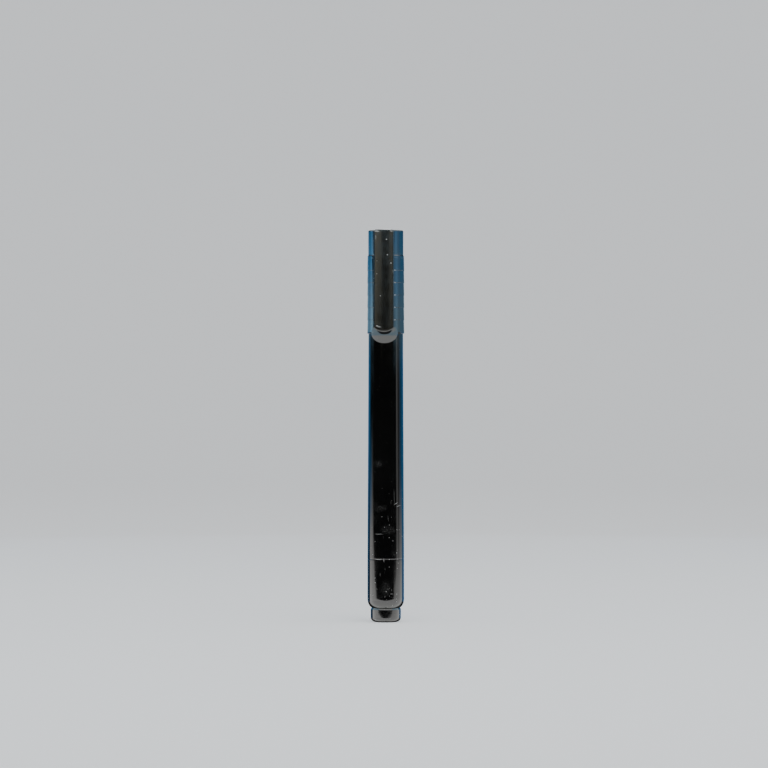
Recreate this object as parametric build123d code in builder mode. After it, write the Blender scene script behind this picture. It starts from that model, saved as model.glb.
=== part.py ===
"""Counterfeit detector pen: a capped felt-tip pen with a spring clip.

The pen stands on the flat face of its end plug. The origin is the centre of that face, +Z runs
along the pen towards the cap's flat top, and the clip is on the -Y side. Millimetres.
"""

import os

from build123d import *

os.makedirs("parts", exist_ok=True)

# Overall
PEN_LENGTH = 142.0
RUNNING_GAP = 0.05

# Barrel
BARREL_R = 6.65
BARREL_FRONT_R = 6.28
BORE_R = 4.6
BARREL_REAR_Z = 5.4
BARREL_REAR_R = 5.5
REAR_ROUND_TOP_Z = 8.0
SHOULDER_Z = 104.5
SHOULDER_CHAMFER = 0.12
NECK_R = 5.35
NECK_TOP_Z = 113.0
NECK_CHAMFER = 0.3
SNAP_BEAD_Z = 108.5
SNAP_BEAD_R = NECK_R + 0.05
SNAP_BEAD_HALF_LENGTH = 0.6
WITNESS_LINE_Z = 22.9
WITNESS_LINE_HALF_WIDTH = 0.3
WITNESS_LINE_DEPTH = 0.05
RIB_COUNT = 4
RIB_HEIGHT = 0.2
RIB_WIDTH = 0.8
RIB_BOTTOM_Z = 14.0
RIB_TOP_Z = 99.5

# End plug
PLUG_R = 5.5
PLUG_LENGTH = 5.3
PLUG_CORNER_R = 1.7
PLUG_TOP_R = 5.2
PLUG_ROUND_BOTTOM_Z = 4.25
PLUG_SPIGOT_TOP_Z = 13.0
PLUG_CORE_R = 3.4
PLUG_CORE_FLOOR_Z = 2.2

# Ink reservoir and its film
CORE_R = 4.2
FILM_THICKNESS = 0.12
CORE_BOTTOM_Z = 13.4
CORE_TOP_Z = 100.8
FILM_SETBACK = 0.8

# Nose piece
NOSE_SPIGOT_BOTTOM_Z = 101.0
NOSE_FLANGE_R = 5.1
NOSE_FLANGE_TOP_Z = 114.0
NOSE_CONE_BASE_R = 4.75
NOSE_CONE_TOP_Z = 124.6
COLLAR_R = 2.9
COLLAR_TOP_Z = 129.4
COLLAR_ROUND = 0.5
NOSE_CORE_R = 3.6
NOSE_CORE_TOP_Z = 108.0
NOSE_CORE_CONE_TOP_Z = 110.0
NIB_CHANNEL_COUNT = 3
NIB_CHANNEL_WIDTH = 0.5
NIB_CHANNEL_DEPTH = 0.35

# Nib
NIB_R = 1.8
NIB_BOTTOM_Z = 95.0
NIB_POINT_LENGTH = 2.5
NIB_POINT_R = 0.7
NIB_TOP_Z = 134.6
NIB_BULLET_Z = 131.4
NIB_BULLET_R = 0.75

# Cap
CAP_MOUTH_Z = SHOULDER_Z + 0.1
CAP_RIM_R = 6.7
CAP_BAND_TOP_R = 6.6
CAP_CROWN_R = 6.38
CAP_MOUTH_ROUND = 0.15
RING_BOTTOM_Z = 105.0
RING_PITCH = 4.48
RING_COUNT = 5
CROWN_LEDGE_BOTTOM_Z = 132.7
CROWN_LEDGE_TOP_Z = 132.95
CAP_TOP_ROUND = 0.35
CAP_BORE_R = NECK_R + 2 * RUNNING_GAP
CAP_BORE_TOP_Z = 114.6
CAP_INNER_R = 5.2
CAP_INNER_TAPER_Z = 116.6
LINER_POCKET_BOTTOM_Z = 133.0
LINER_POCKET_TOP_Z = 137.8
LINER_HEAD_R = 3.9

# Thumb lip on the cap's front, which reaches down over the barrel
LIP_TIP_Z = 101.0
LIP_HALF_WIDTH = 4.8
LIP_INNER_R = 6.35
LIP_TIP_R = LIP_INNER_R + 0.08
LIP_CREST_R = 7.95
LIP_CREST_Z = 104.7
LIP_UNDER_CLIP_R = 7.28
LIP_UNDER_CLIP_Z = 105.0
LIP_TOP_Z = 106.8
LIP_ROOT_R = 6.0

# Inner cap
LINER_MOUTH_Z = 122.6
LINER_MOUTH_R = 3.75
LINER_SEAL_R = COLLAR_R + RUNNING_GAP
LINER_SEAL_BOTTOM_Z = 125.0
LINER_SEAL_TOP_Z = 129.6
LINER_NIB_R = 2.6
LINER_SKIRT_R = 4.5
LINER_SKIRT_TOP_Z = 130.2
LINER_NECK_Z = 131.4
LINER_ROOF_Z = 136.6

# Clip
CLIP_WIDTH = 7.3
CLIP_INNER_Y = -7.5
CLIP_EDGE_Y = -8.7
CLIP_RIDGE_Y = -9.1
CLIP_TIP_Z = 105.0
CLIP_TIP_R = 5.0
CLIP_CORNER_R = 0.9
CLIP_PIVOT_Y = -8.2
CLIP_PIVOT_Z = 137.5
CLIP_PIVOT_R = 0.6
CLIP_SOCKET_R = CLIP_PIVOT_R + RUNNING_GAP
CLIP_SPLIT_GAP = 0.15
CLIP_ROOT_BACK_Y = -4.7
GRIP_BUMP_Z = 108.8
GRIP_BUMP_R = 0.9
GRIP_BUMP_Y = -7.72


def write_step(piece, name):
    """Labels a finished piece and writes it as parts/<name>.step."""
    piece.part.label = name
    export_step(piece.part, f"parts/{name}.step")


def clip_section(z, back_y):
    """Sketches the clip's cross-section at height z: flat at the back, with a blunt ridge in front."""
    half = CLIP_WIDTH / 2
    with BuildSketch(Plane.XY.offset(z)) as section:
        with BuildLine():
            Polyline(
                (-half, back_y),
                (half, back_y),
                (half, CLIP_EDGE_Y),
                (0, CLIP_RIDGE_Y),
                (-half, CLIP_EDGE_Y),
                close=True,
            )
        make_face()
    return section.sketch


# Barrel: a thick tube, rounded at the rear, with a reduced neck that the cap pushes onto.
# It tapers slightly towards the neck from a fine moulding line near the rear end.
with BuildPart() as barrel:
    with BuildSketch(Plane.XZ):
        with BuildLine():
            TangentArc((BARREL_R, REAR_ROUND_TOP_Z), (BARREL_REAR_R, BARREL_REAR_Z), tangent=(0, -1))
            Polyline(
                (BARREL_REAR_R, BARREL_REAR_Z),
                (BORE_R, BARREL_REAR_Z),
                (BORE_R, NECK_TOP_Z),
                (NECK_R - NECK_CHAMFER, NECK_TOP_Z),
                (NECK_R, NECK_TOP_Z - NECK_CHAMFER),
                (NECK_R, SNAP_BEAD_Z + SNAP_BEAD_HALF_LENGTH),
                (SNAP_BEAD_R, SNAP_BEAD_Z),
                (NECK_R, SNAP_BEAD_Z - SNAP_BEAD_HALF_LENGTH),
                (NECK_R, SHOULDER_Z),
                (BARREL_FRONT_R - SHOULDER_CHAMFER, SHOULDER_Z),
                (BARREL_FRONT_R, SHOULDER_Z - SHOULDER_CHAMFER),
                (BARREL_R, WITNESS_LINE_Z + WITNESS_LINE_HALF_WIDTH),
                (BARREL_R - WITNESS_LINE_DEPTH, WITNESS_LINE_Z),
                (BARREL_R, WITNESS_LINE_Z - WITNESS_LINE_HALF_WIDTH),
                (BARREL_R, REAR_ROUND_TOP_Z),
            )
        make_face()
    revolve(axis=Axis.Z)
    with BuildSketch(Plane.XY.offset(RIB_BOTTOM_Z)):
        with PolarLocations(BORE_R, RIB_COUNT):
            Rectangle(2 * RIB_HEIGHT, RIB_WIDTH)
    extrude(amount=RIB_TOP_Z - RIB_BOTTOM_Z)

write_step(barrel, "barrel")


# End plug: a hollow press-in plug whose flat end is what the pen stands on.
with BuildPart() as end_plug:
    with BuildSketch(Plane.XZ):
        with BuildLine():
            Line((0, 0), (PLUG_R - PLUG_CORNER_R, 0))
            TangentArc((PLUG_R - PLUG_CORNER_R, 0), (PLUG_R, PLUG_CORNER_R), tangent=(1, 0))
            Line((PLUG_R, PLUG_CORNER_R), (PLUG_R, PLUG_ROUND_BOTTOM_Z))
            TangentArc((PLUG_R, PLUG_ROUND_BOTTOM_Z), (PLUG_TOP_R, PLUG_LENGTH), tangent=(0, 1))
            Polyline(
                (PLUG_TOP_R, PLUG_LENGTH),
                (BORE_R, PLUG_LENGTH),
                (BORE_R, PLUG_SPIGOT_TOP_Z),
                (PLUG_CORE_R, PLUG_SPIGOT_TOP_Z),
                (PLUG_CORE_R, PLUG_CORE_FLOOR_Z),
                (0, PLUG_CORE_FLOOR_Z),
                (0, 0),
            )
        make_face()
    revolve(axis=Axis.Z)

write_step(end_plug, "end_plug")


# Ink reservoir: a fibre core with a blind hole in its front end for the nib's pointed tail.
with BuildPart() as ink_reservoir:
    with BuildSketch(Plane.XY.offset(CORE_BOTTOM_Z)):
        Circle(CORE_R)
    extrude(amount=CORE_TOP_Z - CORE_BOTTOM_Z)
    with BuildSketch(Plane.XY.offset(NIB_BOTTOM_Z)):
        Circle(NIB_R)
    extrude(amount=CORE_TOP_Z - NIB_BOTTOM_Z, mode=Mode.SUBTRACT)

write_step(ink_reservoir, "ink_reservoir")


# Reservoir film: a thin sleeve round the fibre core, a little shorter than the core.
with BuildPart() as reservoir_film:
    with BuildSketch(Plane.XY.offset(CORE_BOTTOM_Z + FILM_SETBACK)):
        Circle(CORE_R + FILM_THICKNESS)
        Circle(CORE_R, mode=Mode.SUBTRACT)
    extrude(amount=CORE_TOP_Z - CORE_BOTTOM_Z - 2 * FILM_SETBACK)

write_step(reservoir_film, "reservoir_film")


# Nose piece: spigot, flange, cone and sealing collar, with air channels beside the nib.
with BuildPart() as nib_section:
    with BuildSketch(Plane.XZ):
        with BuildLine():
            Polyline(
                (NOSE_CORE_R, NOSE_SPIGOT_BOTTOM_Z),
                (BORE_R, NOSE_SPIGOT_BOTTOM_Z),
                (BORE_R, NECK_TOP_Z),
                (NOSE_FLANGE_R, NECK_TOP_Z),
                (NOSE_FLANGE_R, NOSE_FLANGE_TOP_Z),
                (NOSE_CONE_BASE_R, NOSE_FLANGE_TOP_Z),
                (COLLAR_R, NOSE_CONE_TOP_Z),
                (COLLAR_R, COLLAR_TOP_Z - COLLAR_ROUND),
                (COLLAR_R - COLLAR_ROUND, COLLAR_TOP_Z),
                (NIB_R, COLLAR_TOP_Z),
                (NIB_R, NOSE_CORE_CONE_TOP_Z),
                (NOSE_CORE_R, NOSE_CORE_TOP_Z),
                close=True,
            )
        make_face()
    revolve(axis=Axis.Z)
    with BuildSketch(Plane.XY.offset(NOSE_SPIGOT_BOTTOM_Z)):
        with PolarLocations(NIB_R, NIB_CHANNEL_COUNT):
            Rectangle(2 * NIB_CHANNEL_DEPTH, NIB_CHANNEL_WIDTH)
    extrude(amount=COLLAR_TOP_Z - NOSE_SPIGOT_BOTTOM_Z, mode=Mode.SUBTRACT)

write_step(nib_section, "nib_section")


# Nib: a porous rod, pointed where it enters the reservoir and bullet-shaped where it writes.
with BuildPart() as nib:
    with BuildSketch(Plane.XZ):
        with BuildLine():
            Polyline(
                (0, NIB_TOP_Z),
                (0, NIB_BOTTOM_Z),
                (NIB_POINT_R, NIB_BOTTOM_Z),
                (NIB_R, NIB_BOTTOM_Z + NIB_POINT_LENGTH),
                (NIB_R, NIB_BULLET_Z),
            )
            TangentArc((NIB_R, NIB_BULLET_Z), (NIB_BULLET_R, NIB_TOP_Z), tangent=(0, 1))
            Line((NIB_BULLET_R, NIB_TOP_Z), (0, NIB_TOP_Z))
        make_face()
    revolve(axis=Axis.Z)

write_step(nib, "nib")


# Inner cap: a liner that seals on the nose's collar and covers the nib.
with BuildPart() as inner_cap:
    with BuildSketch(Plane.XZ):
        with BuildLine():
            Polyline(
                (LINER_MOUTH_R, LINER_MOUTH_Z),
                (LINER_SKIRT_R, LINER_MOUTH_Z),
                (LINER_SKIRT_R, LINER_SKIRT_TOP_Z),
                (LINER_HEAD_R, LINER_NECK_Z),
                (LINER_HEAD_R, LINER_POCKET_TOP_Z - RUNNING_GAP),
                (0, LINER_POCKET_TOP_Z - RUNNING_GAP),
                (0, LINER_ROOF_Z),
                (LINER_NIB_R, LINER_ROOF_Z),
                (LINER_NIB_R, LINER_SKIRT_TOP_Z),
                (LINER_SEAL_R, LINER_SEAL_TOP_Z),
                (LINER_SEAL_R, LINER_SEAL_BOTTOM_Z),
                close=True,
            )
        make_face()
    revolve(axis=Axis.Z)

write_step(inner_cap, "inner_cap")


# Cap: stepped rings outside, bored for the neck, the nose and the inner cap.
ring_outline = [(CAP_RIM_R, RING_BOTTOM_Z)]
for ring in range(1, RING_COUNT + 1):
    ring_z = RING_BOTTOM_Z + ring * RING_PITCH
    ring_outline.append((CAP_BAND_TOP_R, ring_z))
    ring_outline.append((CAP_RIM_R, ring_z))

with BuildPart() as cap_shell:
    with BuildSketch(Plane.XZ):
        with BuildLine():
            Polyline(
                (CAP_BORE_R, CAP_MOUTH_Z),
                (CAP_RIM_R - CAP_MOUTH_ROUND, CAP_MOUTH_Z),
                (CAP_RIM_R, CAP_MOUTH_Z + CAP_MOUTH_ROUND),
                *ring_outline,
                (CAP_BAND_TOP_R, CROWN_LEDGE_BOTTOM_Z),
                (CAP_CROWN_R, CROWN_LEDGE_TOP_Z),
                (CAP_CROWN_R, PEN_LENGTH - CAP_TOP_ROUND),
            )
            TangentArc(
                (CAP_CROWN_R, PEN_LENGTH - CAP_TOP_ROUND),
                (CAP_CROWN_R - CAP_TOP_ROUND, PEN_LENGTH),
                tangent=(0, 1),
            )
            Polyline(
                (CAP_CROWN_R - CAP_TOP_ROUND, PEN_LENGTH),
                (0, PEN_LENGTH),
                (0, LINER_POCKET_TOP_Z),
                (LINER_HEAD_R + RUNNING_GAP, LINER_POCKET_TOP_Z),
                (LINER_HEAD_R + RUNNING_GAP, LINER_POCKET_BOTTOM_Z),
                (CAP_INNER_R, LINER_POCKET_BOTTOM_Z),
                (CAP_INNER_R, CAP_INNER_TAPER_Z),
                (CAP_BORE_R, CAP_BORE_TOP_Z),
                (CAP_BORE_R, CAP_MOUTH_Z),
            )
        make_face()
    revolve(axis=Axis.Z)
    # Slot in the crown's front for the clip's root
    with BuildSketch(Plane.XY.offset(CLIP_PIVOT_Z + CLIP_SPLIT_GAP)):
        with Locations((0, CLIP_ROOT_BACK_Y)):
            Rectangle(CLIP_WIDTH, CAP_CROWN_R, align=(Align.CENTER, Align.MAX))
    extrude(amount=PEN_LENGTH - CLIP_PIVOT_Z, mode=Mode.SUBTRACT)

# Thumb lip: a turned wedge, kept only inside an elliptical outline in front of the barrel.
with BuildPart() as thumb_lip:
    with BuildSketch(Plane.XZ):
        with BuildLine():
            Polyline(
                (LIP_INNER_R, LIP_TIP_Z),
                (LIP_TIP_R, LIP_TIP_Z),
                (LIP_CREST_R, LIP_CREST_Z),
                (LIP_UNDER_CLIP_R, LIP_UNDER_CLIP_Z),
                (CAP_RIM_R, LIP_TOP_Z),
                (LIP_ROOT_R, LIP_TOP_Z),
                (LIP_ROOT_R, CAP_MOUTH_Z),
                (LIP_INNER_R, CAP_MOUTH_Z),
                close=True,
            )
        make_face()
    revolve(axis=Axis.Z)
    with BuildSketch(Plane.XZ):
        with Locations((0, CAP_MOUTH_Z)):
            Ellipse(LIP_HALF_WIDTH, CAP_MOUTH_Z - LIP_TIP_Z)
    extrude(amount=2 * CAP_RIM_R, mode=Mode.INTERSECT)

with cap_shell:
    add(thumb_lip.part)

write_step(cap_shell, "cap_shell")


# Clip root: the block in the crown's slot, with a socket under it for the arm's pivot bead.
root_bottom_z = CLIP_PIVOT_Z + CLIP_SPLIT_GAP
with BuildPart() as clip_root:
    add(clip_section(root_bottom_z, CLIP_ROOT_BACK_Y))
    extrude(amount=PEN_LENGTH - root_bottom_z)
    top_corners = clip_root.edges().filter_by(Axis.Y).group_by(Axis.Z)[-1]
    fillet(top_corners, CLIP_CORNER_R)
    with BuildSketch(Plane.YZ.offset(-CLIP_WIDTH / 2)):
        with Locations((CLIP_PIVOT_Y, CLIP_PIVOT_Z)):
            Circle(CLIP_SOCKET_R)
    extrude(amount=CLIP_WIDTH, mode=Mode.SUBTRACT)

write_step(clip_root, "clip_root")


# Clip arm: a ridged strip with a rounded tip, a pivot bead at its top and a grip bump behind its tip.
half_width = CLIP_WIDTH / 2
tip_side_z = CLIP_TIP_Z + CLIP_TIP_R - (CLIP_TIP_R**2 - half_width**2) ** 0.5
with BuildPart() as clip_arm:
    add(clip_section(CLIP_TIP_Z, CLIP_INNER_Y))
    extrude(amount=CLIP_PIVOT_Z - CLIP_TIP_Z)
    with BuildSketch(Plane.XZ.offset(-CLIP_INNER_Y - GRIP_BUMP_R)):
        with BuildLine():
            Polyline(
                (-half_width, tip_side_z),
                (-half_width, CLIP_PIVOT_Z),
                (half_width, CLIP_PIVOT_Z),
                (half_width, tip_side_z),
            )
            RadiusArc((half_width, tip_side_z), (-half_width, tip_side_z), CLIP_TIP_R)
        make_face()
    extrude(amount=2 * CAP_RIM_R, mode=Mode.INTERSECT)
    with BuildSketch(Plane.YZ.offset(-half_width)):
        with Locations((CLIP_PIVOT_Y, CLIP_PIVOT_Z)):
            Circle(CLIP_PIVOT_R)
        with Locations((GRIP_BUMP_Y, GRIP_BUMP_Z)):
            Circle(GRIP_BUMP_R)
    extrude(amount=CLIP_WIDTH)

write_step(clip_arm, "clip_arm")
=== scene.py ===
import math

import bmesh
import bpy
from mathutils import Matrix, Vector, noise


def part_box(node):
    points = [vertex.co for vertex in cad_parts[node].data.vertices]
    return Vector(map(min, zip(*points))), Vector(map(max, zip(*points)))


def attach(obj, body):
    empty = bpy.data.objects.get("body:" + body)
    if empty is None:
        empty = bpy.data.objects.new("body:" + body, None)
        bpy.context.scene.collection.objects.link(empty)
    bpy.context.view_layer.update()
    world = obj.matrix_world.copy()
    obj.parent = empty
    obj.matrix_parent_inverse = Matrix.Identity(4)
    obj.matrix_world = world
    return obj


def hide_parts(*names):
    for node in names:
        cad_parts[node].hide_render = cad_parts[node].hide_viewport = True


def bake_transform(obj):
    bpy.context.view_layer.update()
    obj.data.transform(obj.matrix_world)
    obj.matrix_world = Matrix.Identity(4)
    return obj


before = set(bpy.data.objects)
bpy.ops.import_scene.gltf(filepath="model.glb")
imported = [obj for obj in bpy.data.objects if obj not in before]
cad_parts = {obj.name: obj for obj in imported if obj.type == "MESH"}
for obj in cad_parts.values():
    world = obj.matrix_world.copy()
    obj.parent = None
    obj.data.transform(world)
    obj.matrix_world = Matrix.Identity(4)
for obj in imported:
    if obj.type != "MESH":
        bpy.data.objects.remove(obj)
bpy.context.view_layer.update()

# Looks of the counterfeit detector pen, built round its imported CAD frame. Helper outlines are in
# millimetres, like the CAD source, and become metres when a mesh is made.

MM = 0.001
SEGMENTS = 192
SHARP_ANGLE = math.radians(32)
MERGE_DISTANCE = 1e-4


def cad_box(node):
    """Lowest and highest corners of a CAD node, in millimetres."""
    low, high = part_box(node)
    return low / MM, high / MM


# Levels and radii from the frame

barrel_low, barrel_high = cad_box("barrel")
plug_high = cad_box("end_plug")[1]
cap_low, cap_high = cad_box("cap_shell")
root_low, root_high = cad_box("clip_root")
arm_low, arm_high = cad_box("clip_arm")
nose_low, nose_high = cad_box("nib_section")
nib_low, nib_high = cad_box("nib")
liner_low, liner_high = cad_box("inner_cap")

BARREL_R = barrel_high.x
BARREL_REAR_Z = barrel_low.z
NECK_TOP_Z = barrel_high.z
PLUG_R = plug_high.x
CAP_RIM_R = cap_high.x
LIP_TIP_Z = cap_low.z
CAP_TOP_Z = cap_high.z
CLIP_HALF = arm_high.x
CLIP_RIDGE_Y = arm_low.y
CLIP_TIP_Z = arm_low.z
CLIP_SPLIT_Z = root_low.z

# Sizes inside those levels, the same as in the CAD source

BORE_R = 4.6
BARREL_FRONT_R = 6.28
BARREL_REAR_R = 5.5
REAR_ROUND_TOP_Z = 8.9
SHOULDER_Z = 104.5
NECK_R = 5.35
SNAP_BEAD_Z = 108.5
SNAP_BEAD_R = 5.4
WITNESS_LINE_Z = 22.9
PLUG_FLANGE_Z = 5.3
PLUG_BEVEL_Z = 4.55
PLUG_TOP_R = 5.12
PLUG_CORNER_R = 1.7
PLUG_CORE_R = 3.4
PLUG_FLOOR_Z = 2.2
CAP_MOUTH_Z = 104.6
CAP_BORE_R = 5.45
CAP_BAND_TOP_R = 6.6
CAP_CROWN_R = 6.38
CAP_INNER_R = 5.2
RING_BOTTOM_Z = 105.0
RING_PITCH = 4.48
RING_COUNT = 5
CROWN_LEDGE_BOTTOM_Z = 132.7
CROWN_LEDGE_TOP_Z = 132.95
LINER_POCKET_R = 3.95
LINER_POCKET_LOW_Z = 133.0
LINER_POCKET_HIGH_Z = 137.8
CLIP_EDGE_Y = -8.7
CLIP_BACK_Y = -7.5
CLIP_ROOT_BACK_Y = root_high.y
CLIP_TIP_R = 5.0
CLIP_CORNER_R = 0.9
SPIGOT_CLEARANCE = 0.05
NOSE_CORE_R = 3.6
NOSE_CORE_TOP_Z = 108.0
NOSE_FLANGE_TOP_Z = 114.0
NOSE_CONE_R = 4.75
NOSE_CONE_TOP_Z = 124.6
NOSE_COLLAR_R = 2.9
NIB_SOCKET_Z = 110.0
LINER_HEAD_R = 3.9
LINER_TAPER_LOW_Z = 130.2
LINER_TAPER_HIGH_Z = 131.4
LINER_ROOF_Z = 136.6
LINER_MOUTH_R = 3.75
LINER_MOUTH_Z = 125.0
LINER_SEAL_R = 2.95
LINER_SEAL_Z = 129.6
LINER_BORE_R = 2.6


# Mesh helpers


def rounded(corners, steps=5, closed=False):
    """Points of a path through corners (a, b, radius), with an arc of that radius at each corner."""
    points = []
    count = len(corners)
    for i, (a, b, radius) in enumerate(corners):
        here = Vector((a, b))
        at_end = not closed and i in (0, count - 1)
        if at_end or radius <= 0:
            points.append(here)
            continue
        back = (Vector(corners[i - 1][:2]) - here).normalized()
        ahead = (Vector(corners[(i + 1) % count][:2]) - here).normalized()
        half = back.angle(ahead) / 2
        centre = here + (back + ahead).normalized() * (radius / math.sin(half))
        start = here + back * (radius / math.tan(half)) - centre
        sweep = math.pi - 2 * half
        if start.x * (-back).y - start.y * (-back).x < 0:
            sweep = -sweep
        for step in range(steps + 1):
            turn = sweep * step / steps
            c, s = math.cos(turn), math.sin(turn)
            points.append(centre + Vector((start.x * c - start.y * s, start.x * s + start.y * c)))
    return points


def arc(centre_a, centre_b, radius, start_deg, end_deg, steps):
    """Corner entries along an arc, for use inside a rounded() path."""
    entries = []
    for step in range(steps + 1):
        turn = math.radians(start_deg + (end_deg - start_deg) * step / steps)
        entries.append((centre_a + radius * math.cos(turn), centre_b + radius * math.sin(turn), 0))
    return entries


def mesh_object(name, bm):
    """Finishes a bmesh in millimetres as a smooth-shaded object in metres."""
    bmesh.ops.scale(bm, vec=(MM, MM, MM), verts=bm.verts)
    bmesh.ops.recalc_face_normals(bm, faces=bm.faces)
    mesh = bpy.data.meshes.new(name)
    bm.to_mesh(mesh)
    bm.free()
    mesh.shade_smooth()
    mesh.set_sharp_from_angle(angle=SHARP_ANGLE)
    obj = bpy.data.objects.new(name, mesh)
    bpy.context.collection.objects.link(obj)
    return obj


def supported(path, closed, reach=0.06, longest=4.0):
    """Adds points just inside the ends of long straight runs, so that smooth shading stays flat there."""
    points = []
    ends = path[1:] + path[:1] if closed else path[1:] + [None]
    for start, end in zip(path, ends):
        points.append(start)
        if end is None:
            continue
        start, end = Vector(start), Vector(end)
        length = (end - start).length
        if length < 5 * reach:
            continue
        along = (end - start) / length
        parts = max(1, math.ceil((length - 2 * reach) / longest))
        for i in range(parts + 1):
            points.append(start + along * (reach + (length - 2 * reach) * i / parts))
    return points


def lathe(name, path, closed=True, segments=SEGMENTS):
    """Turns a path of (radius, height) about the pen's axis. Points on the axis become poles."""
    bm = bmesh.new()
    rings = []
    for point in path:
        if point[0] < 1e-6:
            rings.append([bm.verts.new((0, 0, point[1]))])
            continue
        ring = []
        for k in range(segments):
            turn = 2 * math.pi * k / segments
            ring.append(bm.verts.new((point[0] * math.cos(turn), point[0] * math.sin(turn), point[1])))
        rings.append(ring)
    pairs = list(zip(rings, rings[1:]))
    if closed:
        pairs.append((rings[-1], rings[0]))
    for low, high in pairs:
        for k in range(segments):
            nxt = (k + 1) % segments
            if len(low) == 1 and len(high) == 1:
                break
            if len(low) == 1:
                bm.faces.new((low[0], high[nxt], high[k]))
            elif len(high) == 1:
                bm.faces.new((low[k], low[nxt], high[0]))
            else:
                bm.faces.new((low[k], low[nxt], high[nxt], high[k]))
    return mesh_object(name, bm)


def turned(name, corners, closed=True):
    """Turns an outline of (radius, height, rounding) corners about the pen's axis."""
    return lathe(name, supported(rounded(corners, closed=closed), closed), closed)


def slab(name, rows, columns, front, back):
    """Closed plate between two grids: front(row, column) and back(row, column) give the points."""
    bm = bmesh.new()
    sheets = []
    for surface in (front, back):
        sheets.append([[bm.verts.new(surface(r, c)) for c in columns] for r in rows])
    last_row, last_column = len(rows) - 1, len(columns) - 1
    for sheet in sheets:
        for i in range(last_row):
            for j in range(last_column):
                bm.faces.new((sheet[i][j], sheet[i][j + 1], sheet[i + 1][j + 1], sheet[i + 1][j]))
    rim = [(i, 0) for i in range(last_row)]
    rim += [(last_row, j) for j in range(last_column)]
    rim += [(i, last_column) for i in range(last_row, 0, -1)]
    rim += [(0, j) for j in range(last_column, 0, -1)]
    for (i, j), (m, n) in zip(rim, rim[1:] + rim[:1]):
        bm.faces.new((sheets[0][i][j], sheets[0][m][n], sheets[1][m][n], sheets[1][i][j]))
    bmesh.ops.remove_doubles(bm, verts=bm.verts, dist=MERGE_DISTANCE)
    return mesh_object(name, bm)


def edge_drop(distance, radius):
    """How far a rounded edge falls back at this distance inside the outline."""
    inside = min(max(distance, 0.0), radius)
    return radius - math.sqrt(radius**2 - (radius - inside) ** 2)


def spread(low, high, count, power=1.0):
    """Values from low to high, crowded towards both ends when power is over 1."""
    values = []
    for i in range(count + 1):
        t = 2 * i / count - 1
        t = math.copysign(1 - (1 - abs(t)) ** power, t)
        values.append(low + (high - low) * (t + 1) / 2)
    return values


# Turned pieces


def make_barrel():
    """Barrel: rounded rear, a fine witness line, a slight taper, and the neck with its snap bead."""
    line_half, line_depth = 0.3, 0.024
    bead_half = 0.6
    path = [(BORE_R, BARREL_REAR_Z, 0.1), (BARREL_REAR_R - 0.05, BARREL_REAR_Z, 0)]
    for z in spread(BARREL_REAR_Z, REAR_ROUND_TOP_Z, 26):
        below = (REAR_ROUND_TOP_Z - z) / (REAR_ROUND_TOP_Z - BARREL_REAR_Z)
        path.append((BARREL_R - (BARREL_R - BARREL_REAR_R) * below**3, z, 0))
    path += [
        (BARREL_R, WITNESS_LINE_Z - line_half, 0.03),
        (BARREL_R - line_depth, WITNESS_LINE_Z, 0.03),
        (BARREL_R, WITNESS_LINE_Z + line_half, 0.03),
        (BARREL_FRONT_R, SHOULDER_Z, 0.12),
        (NECK_R, SHOULDER_Z, 0.15),
        (NECK_R, SNAP_BEAD_Z - bead_half, 0),
        (SNAP_BEAD_R, SNAP_BEAD_Z, 0.5),
        (NECK_R, SNAP_BEAD_Z + bead_half, 0),
        (NECK_R, NECK_TOP_Z, 0.3),
        (BORE_R, NECK_TOP_Z, 0.1),
    ]
    return turned("barrel_tube", path)


def make_plug():
    """End plug: flat standing face with a gate mark, a bevelled collar and a hollow spigot."""
    gate_r, gate_depth = 0.9, 0.12
    path = [(0, gate_depth, 0), (gate_r, gate_depth, 0.06), (gate_r + 0.1, 0, 0.05)]
    ease, ease_z = 0.02, 3.4
    path += arc(PLUG_R - ease - PLUG_CORNER_R, PLUG_CORNER_R, PLUG_CORNER_R, -90, 0, 16)
    for z in spread(PLUG_CORNER_R + 0.2, ease_z, 6):
        path.append((PLUG_R - ease * ((ease_z - z) / (ease_z - PLUG_CORNER_R)) ** 2, z, 0))
    path += [
        (PLUG_R, PLUG_BEVEL_Z, 0.04),
        (PLUG_TOP_R, PLUG_FLANGE_Z, 0.04),
        (BORE_R - SPIGOT_CLEARANCE, PLUG_FLANGE_Z, 0.04),
        (BORE_R - SPIGOT_CLEARANCE, plug_high.z, 0.3),
        (PLUG_CORE_R, plug_high.z, 0.2),
        (PLUG_CORE_R, PLUG_FLOOR_Z, 0.5),
        (0, PLUG_FLOOR_Z, 0),
    ]
    return turned("rear_plug", path, closed=False)


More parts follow.
